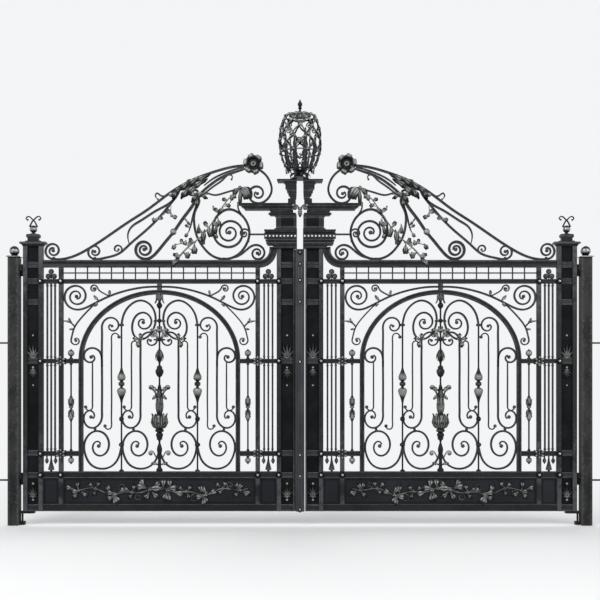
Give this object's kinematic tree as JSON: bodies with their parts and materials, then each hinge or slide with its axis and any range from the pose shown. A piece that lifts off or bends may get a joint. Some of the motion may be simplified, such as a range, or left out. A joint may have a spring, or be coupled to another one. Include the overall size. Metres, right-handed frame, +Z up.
{
  "type": "double-leaf wrought iron driveway gate with posts",
  "caption": "Double-leaf wrought iron driveway gate with scrollwork arches, a scrolled crest rising to a centre finial, and its posts.",
  "frame": {"origin": "middle of the foot of the left post, as seen from outside the drive", "axes": "+X along the gate to the right post, +Y to the inside of the drive, +Z up"},
  "size_m": [6.12, 0.45, 4.254],
  "materials": {
    "painted_iron": "satin",
    "panel_iron": "satin",
    "cast_ornament": "satin",
    "post_iron": "satin"
  },
  "bodies": {
    "posts": {"left_hinge_brackets": "post_iron", "left_post": "post_iron", "left_post_cap": "cast_ornament", "left_wall_ties": "post_iron", "right_hinge_brackets": "post_iron", "right_post": "post_iron", "right_post_cap": "cast_ornament", "right_wall_ties": "post_iron"},
    "left_leaf": {"astragal": "painted_iron", "centre_finial": "cast_ornament", "clasp": "cast_ornament", "left_arch_frame": "painted_iron", "left_arch_scrollwork": "painted_iron", "left_bosses": "cast_ornament", "left_centre_baluster": "cast_ornament", "left_crest_flower": "cast_ornament", "left_crest_scrollwork": "painted_iron", "left_crest_vine": "cast_ornament", "left_cross_rails": "painted_iron", "left_grille_rail": "painted_iron", "left_head_cornice": "painted_iron", "left_hinge_stile": "painted_iron", "left_hinge_stile_finial": "cast_ornament", "left_hinge_straps": "painted_iron", "left_jamb_bars": "painted_iron", "left_kick_panel": "panel_iron", "left_kick_rails": "painted_iron", "left_meeting_capital": "painted_iron", "left_meeting_stile": "painted_iron", "left_reeded_bars": "painted_iron", "left_side_balusters": "cast_ornament", "left_spandrel_scrolls": "painted_iron", "left_top_rail": "painted_iron", "left_vine_relief": "cast_ornament"},
    "right_leaf": {"right_arch_frame": "painted_iron", "right_arch_scrollwork": "painted_iron", "right_bosses": "cast_ornament", "right_centre_baluster": "cast_ornament", "right_crest_flower": "cast_ornament", "right_crest_scrollwork": "painted_iron", "right_crest_vine": "cast_ornament", "right_cross_rails": "painted_iron", "right_grille_rail": "painted_iron", "right_head_cornice": "painted_iron", "right_hinge_stile": "painted_iron", "right_hinge_stile_finial": "cast_ornament", "right_hinge_straps": "painted_iron", "right_jamb_bars": "painted_iron", "right_kick_panel": "panel_iron", "right_kick_rails": "painted_iron", "right_meeting_capital": "painted_iron", "right_meeting_stile": "painted_iron", "right_reeded_bars": "painted_iron", "right_side_balusters": "cast_ornament", "right_spandrel_scrolls": "painted_iron", "right_top_rail": "painted_iron", "right_vine_relief": "cast_ornament"}
  },
  "joints": [
    {"name": "left_leaf_swing", "type": "hinge", "parent": "posts", "child": "left_leaf", "pos_m": [0.0725, 0.03, 0], "axis": [0, 0, 1], "range_deg": [0, 90]},
    {"name": "right_leaf_swing", "type": "hinge", "parent": "posts", "child": "right_leaf", "pos_m": [5.6375, 0.03, 0], "axis": [0, 0, -1], "range_deg": [0, 90]}
  ]
}
